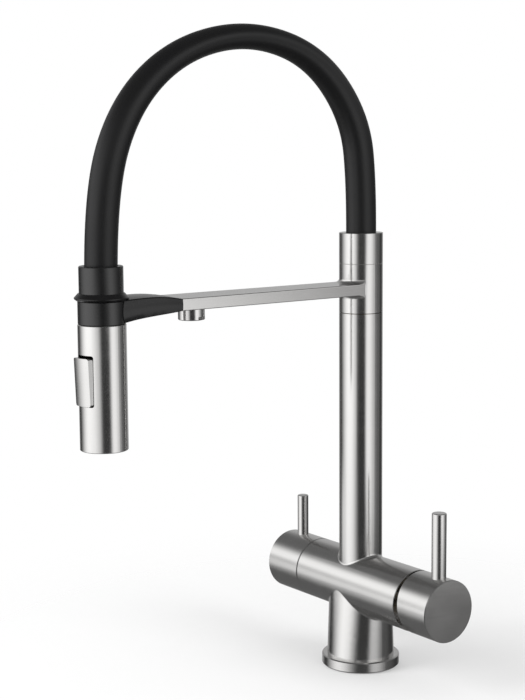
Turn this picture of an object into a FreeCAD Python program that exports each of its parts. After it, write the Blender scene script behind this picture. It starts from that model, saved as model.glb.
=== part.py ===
import FreeCAD
import Part
import math
import os
from FreeCAD import Vector

# Three way kitchen tap: a mixer lever at +X, a filtered water lever at -X, and a spray head that pulls
# down out of its holder at -Y. Millimetres. The column stands on Z, and Z = 0 is the worktop.

# Clearances
FIT = 0.05               # radial, a shaft in its bore
LOOSE = 0.3              # between pieces that pass each other
PLUG_FIT = 0.1           # radial, a piece that is glued, screwed or pushed in
PAST = 5.0               # how far a cutting shape stands past what it cuts
SINK = 1.0               # how deep two forms of one piece reach into each other before they are joined

# Base
BASE_STEP = 4.0          # how far the base ring stands out past the barrel
BASE_H = 8.4
BASE_EDGE = 0.8
GASKET_INSET = 2.5
GASKET_WALL = 3.0
GASKET_H = 1.6
GASKET_PROUD = 0.4
NECK_STEP = 2.0          # from the barrel's side in to the spigot that the base ring goes round
PLATE_R = 20.4
PLATE_H = 14.0
STUD_HOLE_R = 3.4
STUD_HOLE_DEPTH = 12.0
INLET_R = 4.5
INLET_RING_R = 12.5
INLET_COUNT = 3

# Body
BARREL_R = 25.0
BARREL_TOP_DEPTH = 22.1  # the barrel's half depth where it runs out on the cross tube
CROSS_R = 22.5
CROSS_Z = 62.5
TEE_LEFT = 49.8
TEE_RIGHT = 64.0
TEE_EDGE = 0.4
WELD_R = 2.2             # of the fillet round the riser's foot
BARREL_WELD_R = 1.5      # of the fillet between the barrel and the cross tube
FOOT_H = 8.0             # the short neck above the cross tube that the riser is welded to
CHAMBER_R = 18.0
CHAMBER_TOP = 36.0
DUCT_R = 3.0
PORT_OFFSET = 8.0        # of the hot and cold ports from the mixer's axis, sideways and down
FEED_X = 13.0            # of the drillings that rise from the inlet chamber

# Riser
RISER_R = 16.0
RISER_WALL = 1.5
RISER_TOP = 265.8
HOSE_SOCKET_H = 9.5      # of the inner hoses' sockets above the cross tube's axis
MIXED_R = 6.0
MIXED_BORE_R = 4.4
FILTERED_R = 3.0
FILTERED_BORE_R = 2.0
FILTERED_Y = -9.6

# Swivel
MANIFOLD_DEPTH = 25.0
SOCKET_DEPTH = 8.0
JOURNAL_H = 34.2
SLEEVE_WALL = 2.0
SLEEVE_H = 36.2
SEAM_EDGE = 0.25
BUSH_WALL = 1.45
BUSH_H = 5.0
SEAL_R = 0.65
SEAL_OFFSET = 6.5
GROOVE_DEPTH = 0.7
CROSS_DUCT_R = 1.5       # from the manifold's filtered water bore out to its groove
GROOVE_H = 4.0
CLIP_RING_H = 1.2
CLIP_RING_PROUD = 0.8
CLIP_RING_GAP = 4.0
COLLAR_DEPTH = 2.8       # the hose sleeve's tail in the swivel sleeve

# Outlet arm
ARM_HALF = 15.5          # half width at the holder
ARM_ROOT_HALF = 14.2     # half width at the column's axis
ARM_H = 8.3
ARM_RISE = 13.8          # from the riser's top to the arm's underside
ARM_EDGE = 0.7
ARM_FILLET = 1.2         # where it meets the sleeve
ARM_FLARE = 3.0          # of the larger hollow above and below it, round the sleeve
WATERWAY_R = 2.3
TONGUE_HALF = 10.5
TONGUE_H = 5.0
TONGUE_L = 20.0
ARM_PLUG_L = 6.0
OUTLET_Y = -148.4
OUTLET_R = 9.2
OUTLET_DROP = 8.3
OUTLET_THREAD_R = 7.4
OUTLET_THREAD_L = 5.0
OUTLET_BORE_R = 6.2
OUTLET_FLAT = 8.1        # the spanner flats' distance from the outlet's axis
OUTLET_FLAT_H = 2.4
OUTLET_FLAT_TURN = 26.0  # degrees that the flats are turned on the axis

# Hose sleeve and hose
HOSE_SLEEVE_H = 22.3
HOSE_SLEEVE_WALL = 1.7
MOUTH_H = 3.0            # of the thick lip that closes on the hose at the sleeve's top
MOUTH_EDGE = 0.8
HOSE_GUIDE_H = 10.0
HOSE_R = 11.0
HOSE_BORE_R = 5.0
CONNECTOR_FLANGE_R = 12.0
CONNECTOR_FLANGE_H = 3.7
CONNECTOR_STEM_L = 14.0
BARB_L = 14.0
BARB_BORE_R = 3.0
HOSE_ROUTE = [           # (Y, Z) of the points that the hose's line bends round
    (0.0, 312.0),
    (0.0, 351.0),
    (-6.0, 406.0),
    (-42.0, 450.5),
    (-99.0, 466.0),
    (-157.0, 452.5),
    (-198.5, 415.0),
    (-218.5, 358.0),
    (-218.5, 300.0),
]
BEND_SHARE = 0.45        # of the shorter run beside a point, taken up by the bend

# Holder
HOLDER_L = 53.5          # from the spray head's axis to the arm's end
HOLDER_SHARES = [0.0, 0.42, 0.75, 1.0]     # where its four cross sections stand, from the arm's end on
HOLDER_HALVES = [15.3, 14.1, 12.9, 12.0]   # half width of each at its corners
HOLDER_BULGES = [0.5, 1.1, 1.3, 1.3]       # how far its sides stand out past the corners
HOLDER_DROPS = [0.0, 2.2, 4.6, 8.2]        # of each underside, below the arm's
HOLDER_SHOULDERS = [8.0, 10.6, 10.0, 9.4]  # of each side's top, above the arm's underside
HOLDER_CROWNS = [8.3, 11.4, 11.0, 10.4]    # of each middle's top, above the arm's underside
HOLDER_EDGE = 1.0
RING_R = 18.0
RING_H = 4.7
RING_RISE = 9.7          # from the arm's underside to the ring's
RING_SHELF = 0.7         # width of its flat top
RING_LIP_LOW = 1.2       # of the lip's lower corner above the ring's underside
RING_LIP_HIGH = 1.9
RING_UNDERCUT = 1.4      # how far its underside is drawn in from the lip
RING_EDGE = 0.3
HOLDER_SCREW_R = 1.5
HOLDER_SCREW_HEAD_R = 2.8
HOLDER_SCREW_HEAD_H = 0.8
HOLDER_SCREW_X = 6.0
HOLDER_SCREW_INSET = 12.0

# Spray head
HEAD_Y = -218.5
HEAD_TURN = 9.0          # degrees that the head stands turned in its holder, at rest
COLLAR_R = 14.7
COLLAR_H = 22.5
COLLAR_EDGE = 0.5
COLLAR_TAIL_R = 11.9
COLLAR_TAIL_L = 9.0
HOSE_SEAT_H = 10.7
BAND_R = 15.8
BAND_H = 15.0
NUT_R = 6.9
STEM_R = 5.0
STEM_L = 16.0
STEM_BORE_R = 2.8
BARREL_HEAD_R = 16.1
BARREL_HEAD_WALL = 1.2
BARREL_HEAD_L = 83.8
BARREL_HEAD_EDGE = 0.4
FACE_DEPTH = 6.3         # from the barrel's rim up to the core
CORE_SOCKET_DEPTH = 20.0
CORE_BORE_R = 4.0
CORE_CHAMBER_R = 12.6
CORE_CHAMBER_H = 12.0
FACE_H = 4.6
FACE_INSET = 0.7
NOZZLE_R = 1.1
NOZZLE_BORE_R = 0.55
NOZZLE_PROUD = 0.5
NOZZLE_RING_RADII = [9.0, 12.2]
NOZZLE_COUNTS = [12, 18]
STREAM_R = 5.6
STREAM_H = 3.6
STREAM_HOLE_R = 0.6
STREAM_RING_RADII = [0.0, 2.0, 3.9]
STREAM_COUNTS = [1, 6, 12]

# Rocker on the spray head
ROCKER_HALF = 7.4
ROCKER_CROWN = 1.2       # how far the middle of its face stands out past the sides
ROCKER_GAP = 0.35        # beside it
ROCKER_H = 31.8
ROCKER_RISE = 31.0       # from the barrel's rim up to the rocker
ROCKER_PROUD_TOP = 3.3
ROCKER_PROUD_BOTTOM = 2.0
ROCKER_DEPTH = 9.0       # from the barrel's face to the rocker's back
ROCKER_BACK_SLOPE = 1.0  # how far the back's ends are drawn in, so that it can rock
ROCKER_EDGE = 1.6
ROCKER_PIN_R = 1.2
ROCKER_PIN_DEPTH = 6.0   # of the pin's axis behind the barrel's face
ROCKER_PIN_HALF = 9.4
ROCKER_GAP_TOP = 1.6
ROCKER_GAP_BOTTOM = 0.6

# Mixer side
MIXER_BORE_R = 18.6
MIXER_BORE_L = 42.0
MIXER_SEAT_L = 8.0
CARTRIDGE_R = 17.5
CARTRIDGE_L = 27.0
CARTRIDGE_CAVITY_R = 12.6
CARTRIDGE_CAVITY_L = 13.5
CARTRIDGE_LIP = 1.5
CARTRIDGE_MOUTH_R = 11.6
PIVOT_DEPTH = 12.0       # of the lever's centre of tilt, inside the tee's end
DOME_R = 19.0
DOME_WALL = 1.5
DOME_MOUTH_R = 11.0
CARRIER_L = 12.0
CARRIER_SLOT_HALF = 4.7
CARRIER_SLOT_H = 6.8
TILT_PIN_R = 1.5
TILT_PIN_INSET = 1.0
LEVER_STEM_R = 4.0
LEVER_EYE_R = 4.5
LEVER_STEM_L = 40.0
MIXER_REACH = 33.7       # from the tee's end to the handle's end face
MIXER_GAP_TOP = 2.3      # between the body and the handle's slanted rim
MIXER_GAP_BOTTOM = 6.8
MIXER_CAP_WALL = 2.4
MIXER_CAP_HOLLOW = 17.5  # thickness of the handle's solid end
CAP_EDGE = 0.5
MIXER_PIN_R = 5.25
MIXER_PIN_H = 46.6
MIXER_PIN_INSET = 10.5
PIN_DEPTH = 8.0
PIN_EDGE = 0.8
SCREW_R = 2.0
SCREW_L = 8.0
SCREW_HEX_R = 1.1
SCREW_HEX_DEPTH = 2.5

# Filtered water side
FILTER_BORE_R = 14.0
FILTER_BORE_L = 24.0
HEADWORK_L = 32.0
HEADWORK_NECK_R = 9.0
HEADWORK_NECK_L = 9.0
DISC_R = 8.0
DISC_H = 3.0
DISC_PORT_R = 2.2
DISC_PORT_OFFSET = 4.0
WAIST_DEPTH = 3.5
SPINDLE_R = 4.0
SPINDLE_L = 41.0
FILTER_GROOVE = 0.6
FILTER_REACH = 36.7
FILTER_CAP_WALL = 3.0
FILTER_CAP_HOLLOW = 25.0
FILTER_PIN_R = 4.2
FILTER_PIN_H = 31.0
FILTER_PIN_INSET = 15.2

# Worked out from the above
BASE_R = BARREL_R + BASE_STEP
GASKET_R = BASE_R - GASKET_INSET
NECK_R = BARREL_R - NECK_STEP
CROSS_TOP = CROSS_Z + CROSS_R
FOOT_TOP = CROSS_TOP + FOOT_H
HOSE_SOCKET_Z = CROSS_Z + HOSE_SOCKET_H
RISER_BORE_R = RISER_R - RISER_WALL
SLEEVE_BORE_R = RISER_R - SLEEVE_WALL
JOURNAL_R = SLEEVE_BORE_R - BUSH_WALL - FIT
GROOVE_R = JOURNAL_R - GROOVE_DEPTH
CLIP_RING_R = JOURNAL_R + CLIP_RING_PROUD
MANIFOLD_TOP = RISER_TOP + JOURNAL_H
CLIP_RING_Z = MANIFOLD_TOP - 2 * CLIP_RING_H
SLEEVE_BOTTOM = RISER_TOP + LOOSE
SLEEVE_TOP = RISER_TOP + SLEEVE_H
HOSE_SLEEVE_TOP = SLEEVE_TOP + HOSE_SLEEVE_H
HOSE_FOOT_Z = SLEEVE_TOP + HOSE_GUIDE_H
ARM_Z = RISER_TOP + ARM_RISE
WATER_Z = ARM_Z + ARM_H / 2
ARM_END = -HEAD_Y - HOLDER_L
TONGUE_LOW = WATER_Z - TONGUE_H / 2
TONGUE_END = ARM_END + TONGUE_L
RING_Z = ARM_Z + RING_RISE
HOLDER_BOTTOM = ARM_Z - max(HOLDER_DROPS)
HOLDER_SCREW_Y = -ARM_END - HOLDER_SCREW_INSET
BAND_TOP = RING_Z - LOOSE
BAND_BOTTOM = BAND_TOP - BAND_H
COLLAR_TOP = RING_Z + COLLAR_H
NUT_BOTTOM = BAND_TOP - COLLAR_TAIL_L
HOSE_SEAT_Z = RING_Z + HOSE_SEAT_H
CORE_TOP = BAND_BOTTOM - LOOSE
BARREL_HEAD_BOTTOM = CORE_TOP - BARREL_HEAD_L
BARREL_HEAD_BORE_R = BARREL_HEAD_R - BARREL_HEAD_WALL
CORE_BOTTOM = BARREL_HEAD_BOTTOM + FACE_DEPTH
HEAD_FACE_Y = HEAD_Y - BARREL_HEAD_R
ROCKER_BOTTOM = BARREL_HEAD_BOTTOM + ROCKER_RISE
ROCKER_TOP = ROCKER_BOTTOM + ROCKER_H
ROCKER_PIN_Y = HEAD_FACE_Y + ROCKER_PIN_DEPTH
ROCKER_PIN_Z = (ROCKER_TOP + ROCKER_BOTTOM) / 2
MIXER_SEAT_X = TEE_RIGHT - MIXER_BORE_L
CARTRIDGE_X = MIXER_SEAT_X + MIXER_SEAT_L
CARTRIDGE_FRONT = CARTRIDGE_X + CARTRIDGE_L
PIVOT_X = TEE_RIGHT - PIVOT_DEPTH
MIXER_CAP_END = TEE_RIGHT + MIXER_REACH
MIXER_PIN_X = MIXER_CAP_END - MIXER_PIN_INSET
FILTER_SEAT_X = FILTER_BORE_L - TEE_LEFT
DISCS_X = FILTER_SEAT_X - DUCT_R
SPINDLE_X = DISCS_X - 2 * DISC_H - FIT
FILTER_CAP_END = TEE_LEFT + FILTER_REACH
FILTER_PIN_X = FILTER_PIN_INSET - FILTER_CAP_END

NOZZLE_RINGS = list(zip(NOZZLE_RING_RADII, NOZZLE_COUNTS))
STREAM_RINGS = list(zip(STREAM_RING_RADII, STREAM_COUNTS))

X = Vector(1, 0, 0)
Y = Vector(0, 1, 0)
Z = Vector(0, 0, 1)


def turned(outline, along=Z, origin=Vector(0, 0, 0)):
    """A round solid: the outline of (radius, station) pairs turned about the given direction."""
    points = [Vector(radius, 0, station) for radius, station in outline]
    face = Part.Face(Part.makePolygon(points + points[:1]))
    solid = face.revolve(Vector(0, 0, 0), Z, 360)
    solid.Placement = FreeCAD.Placement(origin, FreeCAD.Rotation(Z, along))
    return solid


def round_bar(radius, low, high, edge=0.0, along=Z, origin=Vector(0, 0, 0)):
    """A round bar with a chamfer at both ends."""
    if not edge:
        return turned([(0, low), (radius, low), (radius, high), (0, high)], along, origin)
    outline = [(0, low), (radius - edge, low), (radius, low + edge), (radius, high - edge)]
    return turned(outline + [(radius - edge, high), (0, high)], along, origin)


def ring(inner, outer, low, high, edge=0.0, along=Z, origin=Vector(0, 0, 0)):
    """A tube with a chamfer at both outer ends."""
    outline = [(inner, low), (outer - edge, low), (outer, low + edge), (outer, high - edge)]
    outline += [(outer - edge, high), (inner, high)]
    if not edge:
        outline = [(inner, low), (outer, low), (outer, high), (inner, high)]
    return turned(outline, along, origin)


def lying(radius, low, high, edge=0.0, y=0.0, z=CROSS_Z):
    """A round bar along X, from station low to station high."""
    return round_bar(radius, low, high, edge, X, Vector(0, y, z))


def block(low, high):
    """A box from its lowest corner to its highest one."""
    size = [b - a for a, b in zip(low, high)]
    return Part.makeBox(size[0], size[1], size[2], Vector(*low))


def rounded(solid, radius, chosen):
    """The solid with a fillet on each edge for which chosen(edge) is true."""
    edges = [edge for edge in solid.Edges if chosen(edge)]
    return solid.makeFillet(radius, edges) if edges else solid


def holes_on_rings(rings, radius, low, high, x, y):
    """Round bars along Z, placed on rings given as (ring radius, count) pairs."""
    bars = []
    for ring_radius, count in rings:
        for number in range(count):
            turn = 2 * math.pi * number / count
            at = Vector(x + ring_radius * math.cos(turn), y + ring_radius * math.sin(turn), 0)
            bars.append(round_bar(radius, low, high, 0, Z, at))
    return bars


# ---- base ----

def base_gasket():
    return ring(GASKET_R - GASKET_WALL, GASKET_R, 0, GASKET_H)


def base_ring():
    body = ring(NECK_R + PLUG_FIT, BASE_R, GASKET_PROUD, BASE_H, BASE_EDGE)
    return body.cut(ring(GASKET_R - GASKET_WALL, GASKET_R, 0, GASKET_H))


def inlet_plate():
    plate = round_bar(PLATE_R, 0, PLATE_H)
    inlets = holes_on_rings([(INLET_RING_R, INLET_COUNT)], INLET_R, 0, PLATE_H, 0, 0)
    return plate.cut([round_bar(STUD_HOLE_R, 0, STUD_HOLE_DEPTH)] + inlets)


# ---- body ----

def barrel_form():
    """The lower barrel: round at the base, and flattened towards the cross tube's depth."""
    round_end = Part.Circle(Vector(0, 0, BASE_H), Z, BARREL_R).toShape()
    flat_end = Part.Ellipse(Vector(0, 0, CROSS_Z), BARREL_R, BARREL_TOP_DEPTH).toShape()
    return Part.makeLoft([Part.Wire(round_end), Part.Wire(flat_end)], True, True)


def is_foot_weld(edge):
    """True on the curve where the riser's foot meets the cross tube."""
    box = edge.BoundBox
    return edge.Closed and box.ZMin > CROSS_Z and box.ZMax < CROSS_TOP + FIT and edge.Length < 8 * RISER_R


def is_barrel_weld(edge):
    """True on the two curves where the barrel meets the cross tube."""
    box = edge.BoundBox
    low = CROSS_Z - CROSS_R
    return box.ZMin > low - FIT and low + FIT < box.ZMax < CROSS_Z and box.YMax - box.YMin > BARREL_R / 2


def water_ducts():
    """The drillings between the inlets, the two valves and the riser."""
    port_z = CROSS_Z - PORT_OFFSET
    ducts = []
    for side in (-PORT_OFFSET, PORT_OFFSET):
        ducts.append(round_bar(DUCT_R, CHAMBER_TOP - SINK, port_z, 0, Z, Vector(FEED_X, side, 0)))
        ducts.append(lying(DUCT_R, FEED_X - DUCT_R, MIXER_SEAT_X + SINK, 0, side, port_z))
    ducts.append(lying(DUCT_R, 0, MIXER_SEAT_X + SINK))
    ducts.append(round_bar(DUCT_R, CROSS_Z, HOSE_SOCKET_Z + SINK))
    ducts.append(round_bar(DUCT_R, CHAMBER_TOP - SINK, CROSS_Z, 0, Z, Vector(-FEED_X, 0, 0)))
    ducts.append(lying(DUCT_R, FILTER_SEAT_X - SINK, DUCT_R - FEED_X))
    ducts.append(lying(FILTERED_BORE_R, FILTER_SEAT_X - SINK, 0, 0, FILTERED_Y))
    ducts.append(round_bar(FILTERED_BORE_R, CROSS_Z, HOSE_SOCKET_Z + SINK, 0, Z, Vector(0, FILTERED_Y, 0)))
    return ducts


def tee_body():
    cross = lying(CROSS_R, -TEE_LEFT, TEE_RIGHT, TEE_EDGE)
    foot = round_bar(RISER_R, CROSS_Z, FOOT_TOP)
    body = cross.fuse([barrel_form(), foot]).removeSplitter()
    body = rounded(body, WELD_R, is_foot_weld)
    body = rounded(body, BARREL_WELD_R, is_barrel_weld)
    neck = round_bar(NECK_R, GASKET_PROUD, BASE_H + SINK)
    bores = [round_bar(PLATE_R + PLUG_FIT, 0, PLATE_H), round_bar(CHAMBER_R, PLATE_H, CHAMBER_TOP)]
    bores.append(lying(MIXER_BORE_R, MIXER_SEAT_X, TEE_RIGHT))
    bores.append(lying(FILTER_BORE_R, -TEE_LEFT, FILTER_SEAT_X))
    bores.append(round_bar(MIXED_R + PLUG_FIT, HOSE_SOCKET_Z, FOOT_TOP))
    bores.append(round_bar(FILTERED_R + PLUG_FIT, HOSE_SOCKET_Z, FOOT_TOP, 0, Z, Vector(0, FILTERED_Y, 0)))
    return body.fuse(neck).cut(bores + water_ducts()).removeSplitter()


# ---- riser and swivel ----

def riser_tube():
    return ring(RISER_BORE_R, RISER_R, FOOT_TOP, RISER_TOP)


def mixed_water_hose():
    return ring(MIXED_BORE_R, MIXED_R, HOSE_SOCKET_Z, RISER_TOP - MANIFOLD_DEPTH + SOCKET_DEPTH)


def filtered_water_tube():
    at = Vector(0, FILTERED_Y, 0)
    top = RISER_TOP - MANIFOLD_DEPTH + SOCKET_DEPTH
    return ring(FILTERED_BORE_R, FILTERED_R, HOSE_SOCKET_Z, top, 0, Z, at)


def swivel_manifold():
    """The brass core of the swivel: a plug in the riser and a journal that the spout turns on."""
    low = RISER_TOP - MANIFOLD_DEPTH
    journal = round_bar(JOURNAL_R, RISER_TOP, MANIFOLD_TOP)
    body = round_bar(RISER_BORE_R - PLUG_FIT, low, RISER_TOP).fuse(journal)
    at = Vector(0, FILTERED_Y, 0)
    socket_top = low + SOCKET_DEPTH
    cuts = [round_bar(MIXED_R + PLUG_FIT, low, socket_top), round_bar(MIXED_BORE_R, low, MANIFOLD_TOP)]
    cuts.append(round_bar(FILTERED_R + PLUG_FIT, low, socket_top, 0, Z, at))
    cuts.append(round_bar(FILTERED_BORE_R, low, WATER_Z + FILTERED_BORE_R, 0, Z, at))
    cuts.append(round_bar(CROSS_DUCT_R, 0, JOURNAL_R, 0, -Y, Vector(0, FILTERED_Y + SINK, WATER_Z)))
    cuts.append(ring(GROOVE_R, JOURNAL_R + SINK, WATER_Z - GROOVE_H / 2, WATER_Z + GROOVE_H / 2))
    cuts.append(ring(GROOVE_R, JOURNAL_R + SINK, CLIP_RING_Z, CLIP_RING_Z + CLIP_RING_H))
    return body.cut(cuts)


def swivel_seals():
    middle = (JOURNAL_R + SLEEVE_BORE_R) / 2
    return [Part.makeTorus(middle, SEAL_R, Vector(0, 0, WATER_Z + side * SEAL_OFFSET)) for side in (-1, 1)]


def swivel_clip_ring():
    top = CLIP_RING_Z + CLIP_RING_H
    half = CLIP_RING_GAP / 2
    gap = block((-half, 0, CLIP_RING_Z), (half, CLIP_RING_R + PAST, top))
    return ring(GROOVE_R, CLIP_RING_R, CLIP_RING_Z, top).cut(gap)


def lower_bush():
    return ring(JOURNAL_R + FIT, SLEEVE_BORE_R, SLEEVE_BOTTOM, SLEEVE_BOTTOM + BUSH_H)


def upper_bush():
    top = CLIP_RING_Z - LOOSE
    return ring(JOURNAL_R + FIT, SLEEVE_BORE_R, top - BUSH_H, top)


def is_arm_root(edge):
    """True on the curve all round the arm where it meets the sleeve."""
    on_sleeve = [abs(math.hypot(end.X, end.Y) - RISER_R) < FIT for end in edge.Vertexes]
    beside_arm = [abs(end.Z - WATER_Z) < ARM_H / 2 + FIT for end in edge.Vertexes]
    return all(on_sleeve + beside_arm)


def arm_plate(low, high):
    """The arm seen from above, drawn up from one height to another."""
    plan = [(-ARM_HALF, -ARM_END), (ARM_HALF, -ARM_END), (ARM_ROOT_HALF, 0), (-ARM_ROOT_HALF, 0)]
    corners = [Vector(x, y, low) for x, y in plan]
    return Part.Face(Part.makePolygon(corners + corners[:1])).extrude(Z * (high - low))


def arm_flare():
    """A ring round the sleeve, as wide as the arm, whose hollow edges carry the arm into the sleeve."""
    low = ARM_Z
    high = ARM_Z + ARM_H
    outer = RISER_R + ARM_FLARE
    inner = RISER_R - SINK
    bow = ARM_FLARE * (1 - math.sqrt(0.5))
    foot = Vector(RISER_R, 0, low - ARM_FLARE)
    head = Vector(RISER_R, 0, high + ARM_FLARE)
    below = Part.Arc(foot, Vector(RISER_R + bow, 0, low - bow), Vector(outer, 0, low))
    above = Part.Arc(Vector(outer, 0, high), Vector(RISER_R + bow, 0, high + bow), head)
    back = [head, Vector(inner, 0, high + ARM_FLARE), Vector(inner, 0, low - ARM_FLARE), foot]
    edges = [below.toShape(), Part.LineSegment(Vector(outer, 0, low), Vector(outer, 0, high)).toShape()]
    edges.append(above.toShape())
    edges += [Part.LineSegment(a, b).toShape() for a, b in zip(back, back[1:])]
    whole = Part.Face(Part.Wire(edges)).revolve(Vector(0, 0, 0), Z, 360)
    return whole.common(arm_plate(low - PAST, high + PAST))


def outlet_arm():
    """The swivel sleeve and the flat arm are one piece, with the filtered water's way through both."""
    arm = rounded(arm_plate(ARM_Z, ARM_Z + ARM_H), ARM_EDGE, lambda edge: edge.BoundBox.YLength > ARM_HALF)
    sleeve = round_bar(RISER_R, SLEEVE_BOTTOM, SLEEVE_TOP, SEAM_EDGE)
    body = rounded(sleeve.fuse(arm).removeSplitter(), ARM_FILLET, is_arm_root)
    body = body.fuse(arm_flare()).removeSplitter()
    tongue_high = (TONGUE_HALF, SINK - ARM_END, TONGUE_LOW + TONGUE_H)
    tongue = block((-TONGUE_HALF, -TONGUE_END, TONGUE_LOW), tongue_high)
    cuts = [round_bar(SLEEVE_BORE_R, SLEEVE_BOTTOM, SLEEVE_TOP)]
    cuts.append(round_bar(RISER_BORE_R + 2 * PLUG_FIT, SLEEVE_TOP - COLLAR_DEPTH, SLEEVE_TOP))
    cuts.append(round_bar(WATERWAY_R, SLEEVE_BORE_R - SINK, TONGUE_END, 0, -Y, Vector(0, 0, WATER_Z)))
    outlet = Vector(0, OUTLET_Y, 0)
    cuts.append(round_bar(OUTLET_THREAD_R + PLUG_FIT, ARM_Z, ARM_Z + OUTLET_THREAD_L, 0, Z, outlet))
    cuts += holder_screw_shafts(PLUG_FIT)
    return body.fuse(tongue).cut(cuts).removeSplitter()


def arm_plug():
    return round_bar(WATERWAY_R, TONGUE_END - ARM_PLUG_L, TONGUE_END, 0, -Y, Vector(0, 0, WATER_Z))


def outlet_nozzle():
    """The filtered water's outlet: a thread in the arm, and a round nut with two spanner flats below it."""
    at = Vector(0, OUTLET_Y, 0)
    low = ARM_Z - OUTLET_DROP
    thread = round_bar(OUTLET_THREAD_R, ARM_Z, ARM_Z + OUTLET_THREAD_L, 0, Z, at)
    nut = round_bar(OUTLET_R, low, ARM_Z, CAP_EDGE, Z, at)
    near = OUTLET_Y - OUTLET_R
    far = OUTLET_Y + OUTLET_R
    flat_top = low + OUTLET_FLAT_H
    flats = [block((OUTLET_FLAT, near, low), (OUTLET_R + PAST, far, flat_top))]
    flats.append(block((-OUTLET_R - PAST, near, low), (-OUTLET_FLAT, far, flat_top)))
    for flat in flats:
        flat.rotate(at, Z, OUTLET_FLAT_TURN)
    bore = round_bar(OUTLET_BORE_R, low, ARM_Z + OUTLET_THREAD_L, 0, Z, at)
    return nut.fuse(thread).cut(flats + [bore]).removeSplitter()


def outlet_insert():
    """The sieve in the outlet, with its holes on rings."""
    low = ARM_Z - OUTLET_DROP + FACE_INSET
    disc = round_bar(OUTLET_BORE_R, low, low + STREAM_H, 0, Z, Vector(0, OUTLET_Y, 0))
    return disc.cut(holes_on_rings(STREAM_RINGS, STREAM_HOLE_R, low, low + STREAM_H, 0, OUTLET_Y))


# ---- hose sleeve and hose ----

def hose_sleeve():
    tail = ring(RISER_BORE_R - HOSE_SLEEVE_WALL, RISER_BORE_R, SLEEVE_TOP - COLLAR_DEPTH, SLEEVE_TOP)
    wall = ring(RISER_R - HOSE_SLEEVE_WALL, RISER_R, SLEEVE_TOP, HOSE_SLEEVE_TOP, SEAM_EDGE)
    mouth_r = HOSE_R + LOOSE + PLUG_FIT
    lip_r = RISER_R - MOUTH_EDGE
    slope_low = HOSE_SLEEVE_TOP - MOUTH_EDGE / 2
    lip = turned([(mouth_r, HOSE_SLEEVE_TOP - MOUTH_H), (lip_r, HOSE_SLEEVE_TOP - MOUTH_H),
                  (lip_r, HOSE_SLEEVE_TOP), (mouth_r + MOUTH_EDGE, HOSE_SLEEVE_TOP), (mouth_r, slope_low)])
    return wall.fuse([tail, lip]).removeSplitter()


def hose_connector():
    """A stem that seals in the manifold, a flange in the hose sleeve and a barb in the hose."""
    stem_low = SLEEVE_TOP - CONNECTOR_STEM_L
    flange_top = SLEEVE_TOP + CONNECTOR_FLANGE_H
    barb_top = HOSE_FOOT_Z + BARB_L
    body = round_bar(MIXED_BORE_R - FIT, stem_low, SLEEVE_TOP)
    body = body.fuse(round_bar(CONNECTOR_FLANGE_R, SLEEVE_TOP, flange_top))
    body = body.fuse(round_bar(HOSE_BORE_R - PLUG_FIT, flange_top, barb_top)).removeSplitter()
    return body.cut(round_bar(BARB_BORE_R, stem_low, barb_top))


def hose_guide():
    """The ring that carries the hose's end and centres it in the sleeve."""
    outer = RISER_R - HOSE_SLEEVE_WALL - PLUG_FIT
    flange_top = SLEEVE_TOP + CONNECTOR_FLANGE_H
    whole = ring(HOSE_BORE_R, outer, SLEEVE_TOP, HOSE_FOOT_Z)
    return whole.cut(round_bar(CONNECTOR_FLANGE_R, SLEEVE_TOP, flange_top))


def hose_path():
    """Straight runs joined by tangent arcs, and the arcs' radii."""
    points = [Vector(0, y, z) for y, z in HOSE_ROUTE]
    edges = []
    radii = []
    start = points[0]
    for before, corner, after in zip(points, points[1:], points[2:]):
        back = (before - corner).normalize()
        ahead = (after - corner).normalize()
        reach = BEND_SHARE * min((corner - before).Length, (after - corner).Length)
        half_turn = (math.pi - back.getAngle(ahead)) / 2
        radius = reach / math.tan(half_turn)
        first = corner + back * reach
        last = corner + ahead * reach
        inward = (back + ahead).normalize()
        middle = corner + inward * (radius / math.cos(half_turn) - radius)
        edges.append(Part.LineSegment(start, first).toShape())
        edges.append(Part.Arc(first, middle, last).toShape())
        radii.append(radius)
        start = last
    edges.append(Part.LineSegment(start, points[-1]).toShape())
    return Part.Wire(edges), radii


def spout_hose():
    path, radii = hose_path()
    start = Vector(0, *HOSE_ROUTE[0])
    outer = Part.Wire(Part.Circle(start, Z, HOSE_R).toShape())
    bore = Part.Wire(Part.Circle(start, Z, HOSE_BORE_R).toShape())
    hose = path.makePipeShell([outer], True, True).cut(path.makePipeShell([bore], True, True))
    section = math.pi * (HOSE_R ** 2 - HOSE_BORE_R ** 2)
    print("hose bend radii", [round(radius, 1) for radius in radii])
    print("hose length", round(path.Length, 1), "volume over section times length",
          round(hose.Volume / (section * path.Length), 5))
    return hose


# ---- holder ----

def holder_screw_shafts(extra=0.0):
    top = TONGUE_LOW + TONGUE_H
    ats = [Vector(side * HOLDER_SCREW_X, HOLDER_SCREW_Y, 0) for side in (-1, 1)]
    return [round_bar(HOLDER_SCREW_R + extra, ARM_Z, top, 0, Z, at) for at in ats]


def holder_screw_heads(extra=0.0, drop=0.0):
    ats = [Vector(side * HOLDER_SCREW_X, HOLDER_SCREW_Y, 0) for side in (-1, 1)]
    top = ARM_Z + HOLDER_SCREW_HEAD_H
    return [round_bar(HOLDER_SCREW_HEAD_R + extra, ARM_Z - drop, top, 0, Z, at) for at in ats]


def holder_screws():
    screws = []
    for shaft, head in zip(holder_screw_shafts(), holder_screw_heads()):
        middle = head.BoundBox.Center
        at = Vector(middle.x, middle.y, 0)
        key = round_bar(SCREW_HEX_R, ARM_Z, ARM_Z + HOLDER_SCREW_HEAD_H / 2, 0, Z, at)
        screws.append(shaft.fuse(head).cut(key).removeSplitter())
    return screws


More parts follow.
